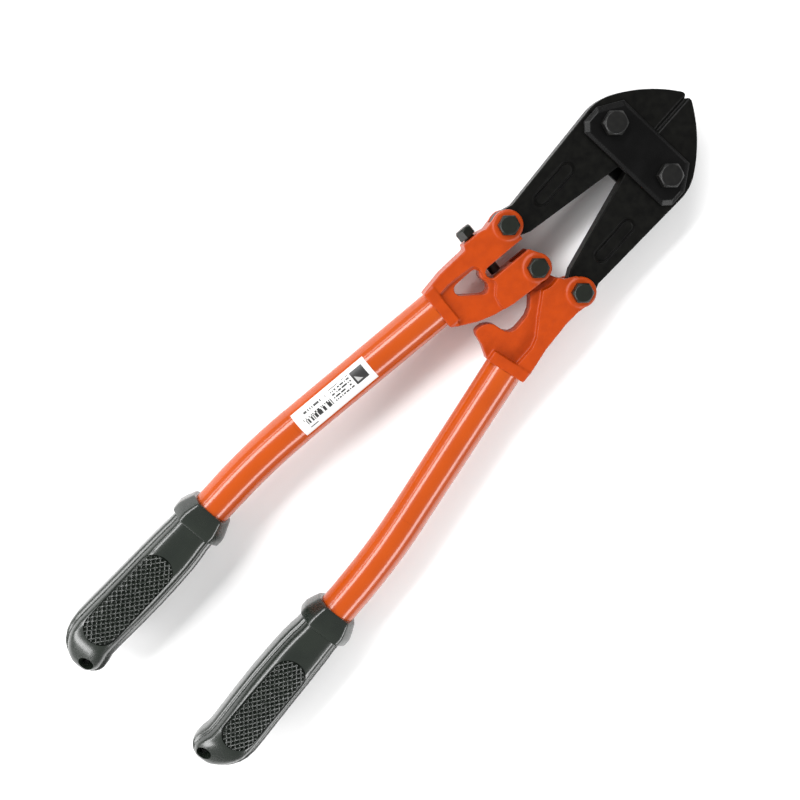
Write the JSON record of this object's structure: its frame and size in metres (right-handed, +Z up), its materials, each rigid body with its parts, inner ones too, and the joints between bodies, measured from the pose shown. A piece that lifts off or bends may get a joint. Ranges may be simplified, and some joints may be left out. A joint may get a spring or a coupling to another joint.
{
  "type": "bolt cutters",
  "caption": "Compound-action bolt cutters: two black steel jaws between side plates, orange forked handle heads on bent tubes, dark moulded grips.",
  "frame": {"origin": "centre of the bounding box's footprint, at its lowest level", "axes": "+X from the grips towards the jaws, +Y towards the left handle, +Z up out of the flat tool"},
  "size_m": [0.45, 0.126, 0.0374],
  "materials": {
    "jaw_steel": "black oxide forged steel, satin",
    "plate_steel": "black oxide rolled steel, satin",
    "head_paint": "gloss orange enamel over cast iron",
    "tube_paint": "gloss orange enamel over steel tube",
    "grip_vinyl": "glossy dark moulded vinyl",
    "fastener_oxide": "black oxide fasteners, lightly oiled",
    "label_paper": "printed white sticker"
  },
  "bodies": {
    "plates": {"side_plate_front": "plate_steel", "side_plate_back": "plate_steel", "bolt_jaw_left": "fastener_oxide", "bolt_jaw_right": "fastener_oxide", "nut_jaw_left": "fastener_oxide", "nut_jaw_right": "fastener_oxide", "washer_jaw_left": "fastener_oxide", "washer_jaw_right": "fastener_oxide"},
    "left_jaw": {"jaw_left": "jaw_steel"},
    "right_jaw": {"jaw_right": "jaw_steel"},
    "left_handle": {"handle_head_left": "head_paint", "handle_tube_left": "tube_paint", "grip_left": "grip_vinyl", "label": "label_paper", "bolt_centre": "fastener_oxide", "nut_centre": "fastener_oxide", "washer_centre": "fastener_oxide", "bolt_tail_left": "fastener_oxide", "nut_tail_left": "fastener_oxide", "washer_tail_left": "fastener_oxide"},
    "right_handle": {"handle_head_right": "head_paint", "handle_tube_right": "tube_paint", "grip_right": "grip_vinyl", "bolt_tail_right": "fastener_oxide", "nut_tail_right": "fastener_oxide", "washer_tail_right": "fastener_oxide"},
    "adjuster": {"adjusting_screw": "fastener_oxide"}
  },
  "joints": [
    {"name": "left_jaw_turn", "type": "hinge", "parent": "plates", "child": "left_jaw", "pos_m": [0.188, 0.02, 0.0211], "axis": [0, 0, 1], "range_deg": [0, 9.3]},
    {"name": "right_jaw_turn", "type": "hinge", "parent": "plates", "child": "right_jaw", "pos_m": [0.188, -0.02, 0.0211], "axis": [0, 0, -1], "range_deg": [0, 9.3]},
    {"name": "left_handle_swing", "type": "hinge", "parent": "left_jaw", "child": "left_handle", "pos_m": [0.113, 0.0266, 0.0211], "axis": [0, 0, -1], "range_deg": [0, 55.29]},
    {"name": "right_handle_swing", "type": "hinge", "parent": "right_jaw", "child": "right_handle", "pos_m": [0.113, -0.0266, 0.0211], "axis": [0, 0, 1], "range_deg": [0, 55.3]},
    {"name": "screw_slide", "type": "slide", "parent": "left_handle", "child": "adjuster", "axis": [0.1564, 0.9877, 0], "range_m": [0, 0.002]}
  ],
  "couplings": [
    {"joint": "left_jaw_turn", "follows": "left_handle_swing", "ratio": 0.16805},
    {"joint": "right_jaw_turn", "follows": "left_handle_swing", "ratio": 0.16805},
    {"joint": "right_handle_swing", "follows": "left_handle_swing", "ratio": 1}
  ]
}
